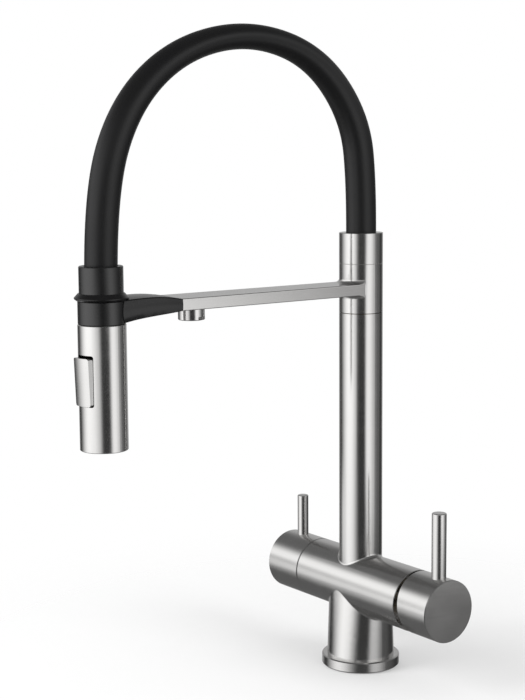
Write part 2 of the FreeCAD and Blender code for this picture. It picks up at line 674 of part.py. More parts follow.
def holder_section(share, half, bulge, drop, shoulder, crown):
    """A cross section of the holder: flat below, round at the sides and slightly arched over the top."""
    y = -ARM_END - share * HOLDER_L
    low = ARM_Z - drop
    high = ARM_Z + shoulder
    middle = (low + high) / 2
    right_high = Vector(half, y, high)
    right_low = Vector(half, y, low)
    left_low = Vector(-half, y, low)
    left_high = Vector(-half, y, high)
    right = Part.Arc(right_high, Vector(half + bulge, y, middle), right_low)
    below = Part.LineSegment(right_low, left_low)
    left = Part.Arc(left_low, Vector(-half - bulge, y, middle), left_high)
    over = Part.Arc(left_high, Vector(0, y, ARM_Z + crown), right_high)
    return Part.Wire([line.toShape() for line in (right, below, left, over)])


def holder_ring():
    """The ring round the spray head: a thin lip with a sloping top, like a hat's brim."""
    inner = COLLAR_R + FIT
    outline = [(inner, 0), (RING_R - RING_UNDERCUT, 0), (RING_R, RING_LIP_LOW), (RING_R, RING_LIP_HIGH)]
    outline += [(inner + RING_SHELF, RING_H), (inner, RING_H)]
    brim = turned(outline, Z, Vector(0, HEAD_Y, RING_Z))
    return rounded(brim, RING_EDGE, lambda edge: edge.Closed and edge.Length > 2 * math.pi * RING_R - FIT)


def spray_holder():
    at = Vector(0, HEAD_Y, 0)
    columns = zip(HOLDER_SHARES, HOLDER_HALVES, HOLDER_BULGES, HOLDER_DROPS, HOLDER_SHOULDERS, HOLDER_CROWNS)
    wedge = Part.makeLoft([holder_section(*numbers) for numbers in columns], True)
    wedge = rounded(wedge, HOLDER_EDGE, lambda edge: edge.BoundBox.YLength > RING_R)
    side = TONGUE_HALF + PLUG_FIT
    low = (-side, -TONGUE_END - PLUG_FIT, TONGUE_LOW - PLUG_FIT)
    cuts = [block(low, (side, -ARM_END, TONGUE_LOW + TONGUE_H + PLUG_FIT))]
    cuts.append(round_bar(COLLAR_R + FIT, RING_Z - SINK, RING_Z + RING_H, 0, Z, at))
    cuts.append(round_bar(BAND_R + LOOSE, HOLDER_BOTTOM - PAST, RING_Z, 0, Z, at))
    cuts += holder_screw_shafts(PLUG_FIT)
    cuts += holder_screw_heads(PLUG_FIT, PAST)
    return wedge.fuse(holder_ring()).cut(cuts).removeSplitter()


# ---- spray head ----

def head_collar():
    at = Vector(0, HEAD_Y, 0)
    body = round_bar(COLLAR_R, BAND_TOP, COLLAR_TOP, COLLAR_EDGE, Z, at)
    body = body.fuse(round_bar(COLLAR_TAIL_R, NUT_BOTTOM, BAND_TOP + SINK, 0, Z, at)).removeSplitter()
    cuts = [round_bar(HOSE_R + LOOSE + PLUG_FIT, HOSE_SEAT_Z, COLLAR_TOP, 0, Z, at)]
    cuts.append(round_bar(NUT_R + PLUG_FIT, NUT_BOTTOM, HOSE_SEAT_Z, 0, Z, at))
    return body.cut(cuts)


def head_band():
    at = Vector(0, HEAD_Y, 0)
    body = ring(STEM_R + LOOSE, BAND_R, BAND_BOTTOM, BAND_TOP, SEAM_EDGE, Z, at)
    return body.cut(round_bar(COLLAR_TAIL_R + PLUG_FIT, NUT_BOTTOM, BAND_TOP, 0, Z, at))


def swivel_nut():
    """The hose's end piece: a barb in the hose, a body in the collar and a stem that the head turns on."""
    at = Vector(0, HEAD_Y, 0)
    body = round_bar(NUT_R, NUT_BOTTOM, HOSE_SEAT_Z, 0, Z, at)
    body = body.fuse(round_bar(HOSE_BORE_R - PLUG_FIT, HOSE_SEAT_Z, HOSE_SEAT_Z + BARB_L, 0, Z, at))
    body = body.fuse(round_bar(STEM_R, NUT_BOTTOM - STEM_L, NUT_BOTTOM, 0, Z, at)).removeSplitter()
    return body.cut(round_bar(STEM_BORE_R, NUT_BOTTOM - STEM_L, HOSE_SEAT_Z + BARB_L, 0, Z, at))


def rocker_window(inset):
    """The space for the rocker, from well outside the head to inset behind the barrel's face."""
    half = ROCKER_HALF + ROCKER_GAP
    low = (-half, HEAD_FACE_Y - PAST, ROCKER_BOTTOM - ROCKER_GAP_BOTTOM)
    high = (half, HEAD_FACE_Y + inset, ROCKER_TOP + ROCKER_GAP_TOP)
    return rounded(block(low, high), ROCKER_EDGE, lambda edge: edge.BoundBox.YLength > PAST)


def with_head(shape):
    """What faces -Y, turned on the spray head's axis as the head is at rest."""
    shape.rotate(Vector(0, HEAD_Y, 0), Z, HEAD_TURN)
    return shape


def spray_barrel():
    at = Vector(0, HEAD_Y, 0)
    body = ring(BARREL_HEAD_BORE_R, BARREL_HEAD_R, BARREL_HEAD_BOTTOM, CORE_TOP, BARREL_HEAD_EDGE, Z, at)
    return with_head(body.cut(rocker_window(ROCKER_DEPTH + ROCKER_EDGE)))


def spray_core():
    at = Vector(0, HEAD_Y, 0)
    core = round_bar(BARREL_HEAD_BORE_R - FIT, CORE_BOTTOM, CORE_TOP, 0, Z, at)
    cuts = [round_bar(STEM_R + FIT, CORE_TOP - CORE_SOCKET_DEPTH, CORE_TOP, 0, Z, at)]
    cuts.append(round_bar(CORE_BORE_R, CORE_BOTTOM, CORE_TOP, 0, Z, at))
    cuts.append(round_bar(CORE_CHAMBER_R, CORE_BOTTOM, CORE_BOTTOM + CORE_CHAMBER_H, 0, Z, at))
    cuts.append(rocker_window(ROCKER_DEPTH + ROCKER_EDGE))
    pin = Vector(0, ROCKER_PIN_Y, ROCKER_PIN_Z)
    cuts.append(round_bar(ROCKER_PIN_R, -ROCKER_PIN_HALF, ROCKER_PIN_HALF, 0, X, pin))
    return with_head(core.cut(cuts))


def spray_faceplate():
    at = Vector(0, HEAD_Y, 0)
    low = CORE_BOTTOM - FACE_H
    plate = round_bar(BARREL_HEAD_BORE_R - FIT, low, CORE_BOTTOM, 0, Z, at)
    cuts = holes_on_rings(NOZZLE_RINGS, NOZZLE_R, low, CORE_BOTTOM, 0, HEAD_Y)
    cuts.append(round_bar(STREAM_R, low, CORE_BOTTOM, 0, Z, at))
    return plate.cut(cuts)


def spray_nozzles():
    low = CORE_BOTTOM - FACE_H
    sleeves = []
    for ring_radius, count in NOZZLE_RINGS:
        for number in range(count):
            turn = 2 * math.pi * number / count
            at = Vector(ring_radius * math.cos(turn), HEAD_Y + ring_radius * math.sin(turn), 0)
            sleeves.append(ring(NOZZLE_BORE_R, NOZZLE_R, low - NOZZLE_PROUD, CORE_BOTTOM, 0, Z, at))
    return sleeves


def stream_insert():
    low = CORE_BOTTOM - STREAM_H
    disc = round_bar(STREAM_R, low, CORE_BOTTOM, 0, Z, Vector(0, HEAD_Y, 0))
    return disc.cut(holes_on_rings(STREAM_RINGS, STREAM_HOLE_R, low, CORE_BOTTOM, 0, HEAD_Y))


def rocker_pin():
    at = Vector(0, ROCKER_PIN_Y, ROCKER_PIN_Z)
    return with_head(round_bar(ROCKER_PIN_R, -ROCKER_PIN_HALF, ROCKER_PIN_HALF, 0, X, at))


def rocker_face():
    """A leaning round bar whose side is the rocker's face: crowned, and further out at the top."""
    radius = (ROCKER_HALF ** 2 + ROCKER_CROWN ** 2) / (2 * ROCKER_CROWN)
    foot = Vector(0, HEAD_FACE_Y - ROCKER_PROUD_BOTTOM, ROCKER_BOTTOM)
    head = Vector(0, HEAD_FACE_Y - ROCKER_PROUD_TOP, ROCKER_TOP)
    lean = (head - foot).normalize()
    inward = X.cross(lean) * -1
    return round_bar(radius, -PAST, ROCKER_H + PAST, 0, lean, foot + inward * radius)


def rocker_button():
    """A rocker with a crowned face. Its back comes to a ridge behind the pin, so that it can tip."""
    back = HEAD_FACE_Y + ROCKER_DEPTH
    front = HEAD_FACE_Y - 2 * PAST
    drawn_in = back - ROCKER_BACK_SLOPE
    outline = [(front, ROCKER_BOTTOM), (front, ROCKER_TOP), (drawn_in, ROCKER_TOP)]
    outline += [(back, ROCKER_PIN_Z), (drawn_in, ROCKER_BOTTOM)]
    points = [Vector(-ROCKER_HALF, y, z) for y, z in outline]
    body = Part.Face(Part.makePolygon(points + points[:1])).extrude(X * 2 * ROCKER_HALF)
    body = rounded(body, ROCKER_EDGE, lambda edge: edge.BoundBox.YLength > ROCKER_DEPTH)
    body = body.common(rocker_face())
    at = Vector(0, ROCKER_PIN_Y, ROCKER_PIN_Z)
    return with_head(body.cut(round_bar(ROCKER_PIN_R + FIT, -ROCKER_HALF, ROCKER_HALF, 0, X, at)))


# ---- mixer side ----

def cartridge_ports(end):
    """The mixed water's port on the axis, and the hot and cold ones below it on either side."""
    ports = [lying(DUCT_R, MIXER_SEAT_X, end)]
    for side in (-PORT_OFFSET, PORT_OFFSET):
        ports.append(lying(DUCT_R, MIXER_SEAT_X, end, 0, side, CROSS_Z - PORT_OFFSET))
    return ports


def cartridge_seat():
    """The ported floor that the cartridge stands on."""
    return lying(MIXER_BORE_R - PLUG_FIT, MIXER_SEAT_X, CARTRIDGE_X).cut(cartridge_ports(CARTRIDGE_X))


def mixer_cartridge():
    body = lying(CARTRIDGE_R, CARTRIDGE_X, CARTRIDGE_FRONT)
    mouth = CARTRIDGE_FRONT - CARTRIDGE_LIP
    cuts = [lying(CARTRIDGE_CAVITY_R, mouth - CARTRIDGE_CAVITY_L, mouth)]
    cuts.append(lying(CARTRIDGE_MOUTH_R, mouth, CARTRIDGE_FRONT))
    cuts += cartridge_ports(mouth - CARTRIDGE_CAVITY_L)
    return body.cut(cuts)


def cartridge_nut():
    """The threaded ring over the cartridge, with a dome round the lever's centre of tilt."""
    centre = Vector(PIVOT_X, 0, CROSS_Z)
    nut = lying(MIXER_BORE_R - PLUG_FIT, CARTRIDGE_FRONT, TEE_RIGHT)
    dome = Part.makeSphere(DOME_R, centre).common(lying(DOME_R, TEE_RIGHT - SINK, PIVOT_X + DOME_R))
    hollow = Part.makeSphere(DOME_R - DOME_WALL, centre)
    cuts = [hollow.common(lying(DOME_R, CARTRIDGE_FRONT, PIVOT_X + DOME_R))]
    cuts.append(lying(DOME_MOUTH_R, CARTRIDGE_FRONT, PIVOT_X + DOME_R))
    return nut.fuse(dome).cut(cuts).removeSplitter()


def stem_carrier():
    front = CARTRIDGE_FRONT - CARTRIDGE_LIP - LOOSE
    body = lying(CARTRIDGE_CAVITY_R - FIT, front - CARRIER_L, front)
    slot_x = PIVOT_X - LEVER_EYE_R - LOOSE
    low = (slot_x, -CARRIER_SLOT_HALF, CROSS_Z - CARRIER_SLOT_H)
    high = (front, CARRIER_SLOT_HALF, CROSS_Z + CARRIER_SLOT_H)
    pivot = Vector(PIVOT_X, 0, CROSS_Z)
    pin = round_bar(TILT_PIN_R, -CARTRIDGE_CAVITY_R, CARTRIDGE_CAVITY_R, 0, Y, pivot)
    return body.cut([block(low, high), pin])


def tilt_pin():
    half = CARTRIDGE_CAVITY_R - TILT_PIN_INSET
    return round_bar(TILT_PIN_R, -half, half, 0, Y, Vector(PIVOT_X, 0, CROSS_Z))


def lever_stem():
    pivot = Vector(PIVOT_X, 0, CROSS_Z)
    half = CARRIER_SLOT_HALF - LOOSE
    bar = lying(LEVER_STEM_R, PIVOT_X, PIVOT_X + LEVER_STEM_L, CAP_EDGE)
    eye = round_bar(LEVER_EYE_R, -half, half, 0, Y, pivot)
    hole = round_bar(TILT_PIN_R + FIT, -half, half, 0, Y, pivot)
    return bar.fuse(eye).cut(hole)


def mixer_rim_wedge():
    """What the slanted rim takes off the handle, so that its lower side can swing in."""
    reach = 2 * CROSS_R
    slope = (MIXER_GAP_BOTTOM - MIXER_GAP_TOP) / (2 * CROSS_R)
    top_x = TEE_RIGHT + MIXER_GAP_TOP - slope * (reach - CROSS_R)
    bottom_x = TEE_RIGHT + MIXER_GAP_BOTTOM + slope * (reach - CROSS_R)
    back = TEE_RIGHT - PAST
    corners = [(back, reach), (top_x, reach), (bottom_x, -reach), (back, -reach)]
    points = [Vector(x, -reach, CROSS_Z + z) for x, z in corners]
    return Part.Face(Part.makePolygon(points + points[:1])).extrude(Y * 2 * reach)


def mixer_handle():
    rim = TEE_RIGHT + MIXER_GAP_TOP - CAP_EDGE - SINK
    inner = MIXER_CAP_END - MIXER_CAP_HOLLOW
    body = lying(CROSS_R, rim, MIXER_CAP_END, CAP_EDGE)
    pin = Vector(MIXER_PIN_X, 0, 0)
    cuts = [lying(CROSS_R - MIXER_CAP_WALL, rim, inner), mixer_rim_wedge()]
    cuts.append(lying(LEVER_STEM_R + FIT, inner, PIVOT_X + LEVER_STEM_L))
    cuts.append(round_bar(MIXER_PIN_R, CROSS_TOP - PIN_DEPTH, CROSS_TOP, 0, Z, pin))
    cuts.append(round_bar(SCREW_R, CROSS_Z - CROSS_R, CROSS_Z, 0, Z, pin))
    return body.cut(cuts)


def lever_pin(radius, x, tall):
    """A lever's finger pin, with a rounded rim at its top."""
    bar = round_bar(radius, CROSS_TOP - PIN_DEPTH, CROSS_TOP + tall, 0, Z, Vector(x, 0, 0))
    return rounded(bar, PIN_EDGE, lambda edge: edge.Closed and edge.BoundBox.ZMin > CROSS_TOP)


def mixer_lever_pin():
    return lever_pin(MIXER_PIN_R, MIXER_PIN_X, MIXER_PIN_H)


def grub_screw(x, shaft_radius):
    """A set screw that clamps a handle on its shaft from below, with a hexagon socket."""
    high = CROSS_Z - shaft_radius - FIT
    low = high - SCREW_L
    screw = round_bar(SCREW_R, low, high, 0, Z, Vector(x, 0, 0))
    corners = []
    for number in range(6):
        turn = number * math.pi / 3
        corners.append(Vector(x + SCREW_HEX_R * math.cos(turn), SCREW_HEX_R * math.sin(turn), low))
    key = Part.Face(Part.makePolygon(corners + corners[:1]))
    return screw.cut(key.extrude(Z * SCREW_HEX_DEPTH))


def mixer_grub_screw():
    return grub_screw(MIXER_PIN_X, LEVER_STEM_R)


# ---- filtered water side ----

def filter_headwork():
    """The valve body: it holds two ceramic discs and the spindle, and its waist takes the water back."""
    outer = FILTER_SEAT_X - HEADWORK_L
    step = outer + HEADWORK_NECK_L
    neck = lying(HEADWORK_NECK_R, outer, step + SINK)
    body = lying(FILTER_BORE_R - PLUG_FIT, step, FILTER_SEAT_X).fuse(neck)
    cuts = [lying(SPINDLE_R + FIT, outer, DISCS_X), lying(DUCT_R, DISCS_X, FILTER_SEAT_X)]
    waist_x = SPINDLE_X - LOOSE
    cuts.append(lying(DISC_R + FIT, waist_x, DISCS_X))
    axis = Vector(0, 0, CROSS_Z)
    waist_r = FILTER_BORE_R - WAIST_DEPTH
    cuts.append(ring(waist_r, FILTER_BORE_R, waist_x, waist_x + 2 * DUCT_R, 0, X, axis))
    cuts.append(lying(FILTERED_BORE_R, waist_x, FILTER_SEAT_X, 0, FILTERED_Y))
    at = Vector(waist_x + DUCT_R, 0, 0)
    cuts.append(round_bar(FILTERED_BORE_R, CROSS_Z - FILTER_BORE_R, CROSS_Z - DISC_R + SINK, 0, Z, at))
    return body.cut(cuts).removeSplitter()


def ceramic_disc(high, y, z):
    """A disc with one round port, which the other disc's port passes over."""
    port = lying(DISC_PORT_R, high - DISC_H, high, 0, y, CROSS_Z + z)
    return lying(DISC_R, high - DISC_H, high).cut(port)


def fixed_disc():
    return ceramic_disc(DISCS_X, 0, DISC_PORT_OFFSET)


def moving_disc():
    return ceramic_disc(DISCS_X - DISC_H - FIT, DISC_PORT_OFFSET, 0)


def filter_spindle():
    return lying(SPINDLE_R, SPINDLE_X - SPINDLE_L, SPINDLE_X, CAP_EDGE)


def filter_handle():
    rim = -TEE_LEFT - FILTER_GROOVE
    inner = -FILTER_CAP_END + FILTER_CAP_HOLLOW
    body = lying(CROSS_R, -FILTER_CAP_END, rim, CAP_EDGE)
    pin = Vector(FILTER_PIN_X, 0, 0)
    socket = lying(SPINDLE_R + FIT, SPINDLE_X - SPINDLE_L, inner)
    cuts = [lying(CROSS_R - FILTER_CAP_WALL, inner, rim), socket]
    cuts.append(round_bar(FILTER_PIN_R, CROSS_TOP - PIN_DEPTH, CROSS_TOP, 0, Z, pin))
    cuts.append(round_bar(SCREW_R, CROSS_Z - CROSS_R, CROSS_Z, 0, Z, pin))
    return body.cut(cuts)


def filter_lever_pin():
    return lever_pin(FILTER_PIN_R, FILTER_PIN_X, FILTER_PIN_H)


def filter_grub_screw():
    return grub_screw(FILTER_PIN_X, SPINDLE_R)


PIECES = [
    base_gasket, base_ring, inlet_plate, tee_body, riser_tube, mixed_water_hose, filtered_water_tube,
    swivel_manifold, swivel_seals, swivel_clip_ring, lower_bush, upper_bush, outlet_arm, arm_plug,
    outlet_nozzle, outlet_insert, hose_sleeve, hose_connector, hose_guide, spout_hose, spray_holder,
    holder_screws, head_collar, head_band, swivel_nut, spray_barrel, spray_core, spray_faceplate,
    spray_nozzles, stream_insert, rocker_pin, rocker_button, cartridge_seat, mixer_cartridge,
    cartridge_nut, stem_carrier, tilt_pin, lever_stem, mixer_handle, mixer_lever_pin, mixer_grub_screw,
    filter_headwork, fixed_disc, moving_disc, filter_spindle, filter_handle, filter_lever_pin,
    filter_grub_screw,
]

os.makedirs("parts", exist_ok=True)
for piece in PIECES:
    solid = piece()
    if isinstance(solid, list):
        solid = Part.makeCompound(solid)
    solid.exportStep("parts/" + piece.__name__ + ".step")
    print(piece.__name__, len(solid.Solids), "valid", solid.isValid(), "volume", round(solid.Volume, 1))
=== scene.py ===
# %% [markdown]
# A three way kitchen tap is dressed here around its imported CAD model. The CAD model says where each piece is
# and how it moves. This lesson adds what the eye wants: the black hose as one smooth bend, the finish of
# every surface, a small studio and a camera. Every length is in metres.

# %% Load the frame and measure it
import math

import bpy
import numpy as np
from mathutils import Matrix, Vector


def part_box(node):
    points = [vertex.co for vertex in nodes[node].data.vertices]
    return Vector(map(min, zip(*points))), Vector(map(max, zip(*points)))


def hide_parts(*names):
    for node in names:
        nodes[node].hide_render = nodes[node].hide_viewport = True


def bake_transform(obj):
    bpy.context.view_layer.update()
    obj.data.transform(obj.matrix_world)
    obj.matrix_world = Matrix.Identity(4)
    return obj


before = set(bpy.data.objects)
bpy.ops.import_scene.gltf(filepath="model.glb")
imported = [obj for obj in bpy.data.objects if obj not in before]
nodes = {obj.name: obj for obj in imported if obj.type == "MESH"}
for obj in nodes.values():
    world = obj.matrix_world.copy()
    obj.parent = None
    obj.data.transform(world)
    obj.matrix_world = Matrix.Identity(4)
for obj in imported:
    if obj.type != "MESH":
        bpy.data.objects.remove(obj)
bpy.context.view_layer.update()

# %% [markdown]
# A camera is a place, a direction and a lens. A product photograph of a tall tap is taken from well back with
# a long lens, a little above the middle, so that upright edges stay nearly upright. The direction could come
# from a Track To constraint, but three angles are easier to adjust: turn, dip and roll. Their axes are the
# columns of the camera's matrix.

# %% The camera
CAMERA_PLACE = (0.92388, -0.75187, 0.40062)
CAMERA_TURN = math.radians(54.345)
CAMERA_DIP = math.radians(7.778)
CAMERA_ROLL = math.radians(-0.41)
SENSOR_MM = 36.0
LENS_MM = 83.864


def camera_axes(turn, dip, roll):
    """Right, up and back: forward is (-sin, cos) of the turn, tipped down by the dip, and then the roll."""
    forward = np.array([-math.sin(turn) * math.cos(dip), math.cos(turn) * math.cos(dip), -math.sin(dip)])
    level = np.array([math.cos(turn), math.sin(turn), 0.0])
    upright = np.cross(level, forward)
    right = level * math.cos(roll) + upright * math.sin(roll)
    up = upright * math.cos(roll) - level * math.sin(roll)
    return right, up, -forward


def add_camera():
    """A camera whose matrix has the three axes and the place as its columns."""
    data = bpy.data.cameras.new("camera")
    data.sensor_fit = "VERTICAL"
    data.sensor_height = SENSOR_MM
    data.lens = LENS_MM
    camera = bpy.data.objects.new("camera", data)
    bpy.context.scene.collection.objects.link(camera)
    columns = np.eye(4)
    columns[:3, :3] = np.column_stack(camera_axes(CAMERA_TURN, CAMERA_DIP, CAMERA_ROLL))
    columns[:3, 3] = CAMERA_PLACE
    camera.matrix_world = Matrix(columns.tolist())
    return camera


bpy.context.scene.camera = add_camera()
print("camera looks along", np.round(-camera_axes(CAMERA_TURN, CAMERA_DIP, CAMERA_ROLL)[2], 3))

# %% [markdown]
# The hose is a thick rubber tube that stands in an arch between the column and the spray head. Its line is
# one NURBS spline: nine control points pull a smooth curve, which a list of straight runs and arcs can't
# match. Blender works the curve out, and its points are read back as the path that the tube follows.

# %% The hose's line
HOSE_ROUTE = [
    (0.0, 0.312), (0.0006, 0.356), (-0.0055, 0.407), (-0.042, 0.4502), (-0.099, 0.4656), (-0.157, 0.4522),
    (-0.1985, 0.415), (-0.2182, 0.358), (-0.2185, 0.300),
]
STEPS_PER_POINT = 24


def spline_points(route, steps):
    """Points along the NURBS spline of order 3 whose control points are the route's (y, z) pairs."""
    data = bpy.data.curves.new("hose_line", "CURVE")
    data.dimensions = "3D"
    spline = data.splines.new("NURBS")
    spline.points.add(len(route) - 1)
    spline.points.foreach_set("co", [v for y, z in route for v in (0.0, y, z, 1.0)])
    spline.order_u = 3
    spline.use_endpoint_u = True
    spline.resolution_u = steps
    line = bpy.data.objects.new("hose_line", data)
    bpy.context.scene.collection.objects.link(line)
    mesh = bpy.data.meshes.new_from_object(line.evaluated_get(bpy.context.evaluated_depsgraph_get()))
    points = np.empty(len(mesh.vertices) * 3)
    mesh.vertices.foreach_get("co", points)
    bpy.data.objects.remove(line)
    return points.reshape(-1, 3)


hose_line = spline_points(HOSE_ROUTE, STEPS_PER_POINT)
print("hose line top", round(hose_line[:, 2].max(), 4))

# %% [markdown]
# A tube is a ring carried along that line. The bend squeezes the real hose: its two legs are round, and at
# the crown it is flatter in the arch's own plane. So the ring is an ellipse whose depth falls with the square
# of the cosine of the line's slope. All rings are worked out at once as one array, and the wall's inner skin
# is the same surface at the bore's radius, so both ends are closed and show a real wall.

# %% The hose's tube
HOSE_WIDTH = 0.0220
LEG_DEPTH = 0.0219
CROWN_SQUEEZE = 0.0046
BORE_RADIUS = 0.0050
RING_SIDES = 72


def link_mesh(name, vertices, faces, smooth_angle=40.0):
    """A mesh object from arrays: shared edges sharper than the angle stay crisp, and the rest is smooth."""
    mesh = bpy.data.meshes.new(name)
    mesh.from_pydata(np.asarray(vertices).tolist(), [], np.asarray(faces).tolist())
    mesh.update()
    piece = bpy.data.objects.new(name, mesh)
    bpy.context.scene.collection.objects.link(piece)
    mesh.shade_smooth()
    mesh.set_sharp_from_angle(angle=math.radians(smooth_angle))
    return piece


def ring_frames(line):
    """The unit tangent at each point, and the in-plane normal: the tangent's (y, z) turned a quarter turn."""
    tangent = np.gradient(line, axis=0)
    tangent /= np.linalg.norm(tangent, axis=1, keepdims=True)
    normal = np.stack([np.zeros(len(line)), -tangent[:, 2], tangent[:, 1]], axis=1)
    return tangent, normal


def grid_faces(rows, columns):
    """Quads of a grid whose rows close on themselves: corner (i, j), the next column, the next row."""
    i, j = np.meshgrid(np.arange(rows - 1), np.arange(columns), indexing="ij")
    following = (j + 1) % columns
    quads = np.stack([i * columns + j, i * columns + following,
                      (i + 1) * columns + following, (i + 1) * columns + j], axis=-1)
    return quads.reshape(-1, 4)


def hose_skin(line, half_width, half_depth):
    """Point = line + half width times cos(turn) along X + half depth times sin(turn) along the normal."""
    turn = np.linspace(0, 2 * np.pi, RING_SIDES, endpoint=False)
    _, normal = ring_frames(line)
    across = np.array([1.0, 0.0, 0.0])
    widths = half_width[:, None, None] * np.cos(turn)[None, :, None] * across
    depths = half_depth[:, None, None] * np.sin(turn)[None, :, None] * normal[:, None, :]
    return line[:, None, :] + widths + depths


def hose_tube(line):
    """The outer skin and the bore's skin, joined by a flat ring of quads at each end."""
    tangent, _ = ring_frames(line)
    level = tangent[:, 1] ** 2
    outer = hose_skin(line, np.full(len(line), HOSE_WIDTH / 2), (LEG_DEPTH - CROWN_SQUEEZE * level) / 2)
    bore = hose_skin(line, np.full(len(line), BORE_RADIUS), np.full(len(line), BORE_RADIUS))
    skin = grid_faces(len(line), RING_SIDES)
    count = len(line) * RING_SIDES
    rims = []
    for first in (0, count - RING_SIDES):
        j = np.arange(RING_SIDES)
        following = (j + 1) % RING_SIDES
        rim = np.stack([first + j, first + following, first + following + count, first + j + count], axis=1)
        rims.append(rim[:, ::-1] if first == 0 else rim)
    faces = np.concatenate([skin, skin[:, ::-1] + count] + rims)
    return link_mesh("rubber_hose", np.concatenate([outer.reshape(-1, 3), bore.reshape(-1, 3)]), faces)


hose = hose_tube(hose_line)
print("hose faces", len(hose.data.polygons))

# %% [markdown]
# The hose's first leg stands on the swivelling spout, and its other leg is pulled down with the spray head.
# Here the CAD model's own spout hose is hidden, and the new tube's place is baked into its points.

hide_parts("spout_hose")
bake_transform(hose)

# %% [markdown]
# A finish is a small sum: grooves here, a darker patch there, a rougher edge. Blender adds sums up with Math
# nodes, and a graph of them is hard to read. So one class wraps a socket, and Python's own + - * / make the
# nodes. Every other node comes from one method that takes its type, its settings and what feeds its sockets.

# %% A class for node sums
class Wire:
    """An output socket. Arithmetic on it adds Math nodes, also with the number first, as in 1 - mask."""

    def __init__(self, recipe, socket):
        self.recipe = recipe
        self.socket = socket

    def _math(self, operation, *terms):
        return self.recipe.node("ShaderNodeMath", {"operation": operation}, dict(enumerate(terms)))

    def __add__(self, other):
        return self._math("ADD", self, other)

    def __sub__(self, other):
        return self._math("SUBTRACT", self, other)

    def __rsub__(self, other):
        return self._math("SUBTRACT", other, self)

    def __mul__(self, other):
        return self._math("MULTIPLY", self, other)

    def __pow__(self, other):
        return self._math("POWER", self, other)

    __radd__ = __add__
    __rmul__ = __mul__

    def at_most(self, other):
        return self._math("MINIMUM", self, other)

    def at_least(self, other):
        return self._math("MAXIMUM", self, other)

    def arcsine(self):
        return self._math("ARCSINE", self)

    def turn_from(self, ahead):
        """The angle of the arrow (ahead, self), in radians from -pi to pi."""
        return self._math("ARCTAN2", self, ahead)

    def step(self, low, high):
        """0 below low, 1 above high, and a smooth rise between; low above high makes it fall instead."""
        falls = low > high
        ends = {"From Min": min(low, high), "From Max": max(low, high),
                "To Min": float(falls), "To Max": float(not falls)}
        settings = {"interpolation_type": "SMOOTHSTEP"}
        return self.recipe.node("ShaderNodeMapRange", settings, {"Value": self, **ends})


class Recipe:
    """The node tree of one finish, or of the world."""

    def __init__(self, tree):
        self.tree = tree

    def feed(self, socket, value):
        if isinstance(value, Wire):
            self.tree.links.new(value.socket, socket)
        else:
            socket.default_value = value

    def node(self, kind, settings, sockets, output=0):
        """Adds a node: its settings come first, then the value or the wire of each socket."""
        made = self.tree.nodes.new(kind)
        for name, value in settings.items():
            setattr(made, name, value)
        for name, value in sockets.items():
            self.feed(made.inputs[name], value)
        return Wire(self, made.outputs[output])

    def mix(self, factor, first, second):
        """The first colour where the factor is 0 and the second where it is 1."""
        sockets = {0: factor, 6: first, 7: second}
        return self.node("ShaderNodeMix", {"data_type": "RGBA"}, sockets, output=2)

    def vector(self, x, y, z):
        return self.node("ShaderNodeCombineXYZ", {}, {"X": x, "Y": y, "Z": z})

    def noise(self, vector, scale, detail=2.0, roughness=0.5):
        """A cloud pattern from 0 to 1, with a mean near one half."""
        sockets = {"Vector": vector, "Scale": scale, "Detail": detail, "Roughness": roughness}
        return self.node("ShaderNodeTexNoise", {"noise_dimensions": "3D"}, sockets)

    def axes(self, output):
        """The x, y and z of one output of Texture Coordinate."""
        place = self.node("ShaderNodeTexCoord", {}, {}, output=output)
        return [self.node("ShaderNodeSeparateXYZ", {}, {"Vector": place}, output=i) for i in range(3)]

    def object_axes(self):
        """The x, y and z of the surface point, in metres."""
        return self.axes("Object")


print("node helpers ready")

# %% [markdown]
# Each finish starts as a Principled shader. What is the same all over the surface is set straight on the
# shader's sockets, and what changes over it is wired in.

# %% A finish and how pieces get it
def new_finish(name, constants):
    """A material and its recipe; the constants are values by the Principled socket's name."""
    material = bpy.data.materials.new(name)
    material.use_nodes = True
    recipe = Recipe(material.node_tree)
    recipe.shader = material.node_tree.nodes["Principled BSDF"]
    for socket, value in constants.items():
        recipe.feed(recipe.shader.inputs[socket], value)
    return material, recipe


def bump(recipe, height, distance):
    """A height from 0 to 1 times the distance in metres, turned into a normal for the shader."""
    normal = recipe.node("ShaderNodeBump", {}, {"Height": height, "Distance": distance})
    recipe.feed(recipe.shader.inputs["Normal"], normal)


painted = set()


def paint(material, *pieces):
    """Gives CAD nodes, by name, or new pieces this one material."""
    painted.update(piece for piece in pieces if isinstance(piece, str))
    for piece in pieces:
        mesh = (nodes[piece] if isinstance(piece, str) else piece).data
        mesh.materials.clear()
        mesh.materials.append(material)


# %% [markdown]
# The tap is satin stainless steel. It is polished with an abrasive belt, which leaves thousands of fine
# hairlines: round the tubes, along the flat arm and straight across the end faces. The lines blur a
# reflection across themselves and hold it crisp along themselves. A noise that is squeezed along one axis and
# stretched along the others makes hairlines, and one pattern is needed for each direction.

# %% Brushed steel
STEEL = (0.68, 0.674, 0.666, 1.0)
STEEL_DARK = (0.58, 0.573, 0.565, 1.0)
HAIRLINE = 2600.0        # hairlines to a metre, across the brushing
HAIR_LENGTH = 45.0       # the same, along it
ROUND_Z = (HAIR_LENGTH, HAIR_LENGTH, HAIRLINE)
ROUND_X = (HAIRLINE, HAIR_LENGTH, HAIR_LENGTH)
ALONG_Y = (HAIRLINE, HAIR_LENGTH, HAIRLINE)
HAIR_DETAIL = 3.0
FINE_ROUGHNESS = 0.6     # of the noise itself: how strong its smaller waves are
PATCH = 60.0             # soft clouds of rougher and smoother polish, to a metre
SATIN = 0.175
SATIN_SPREAD = 0.09
HAIR_DEPTH = 0.000012


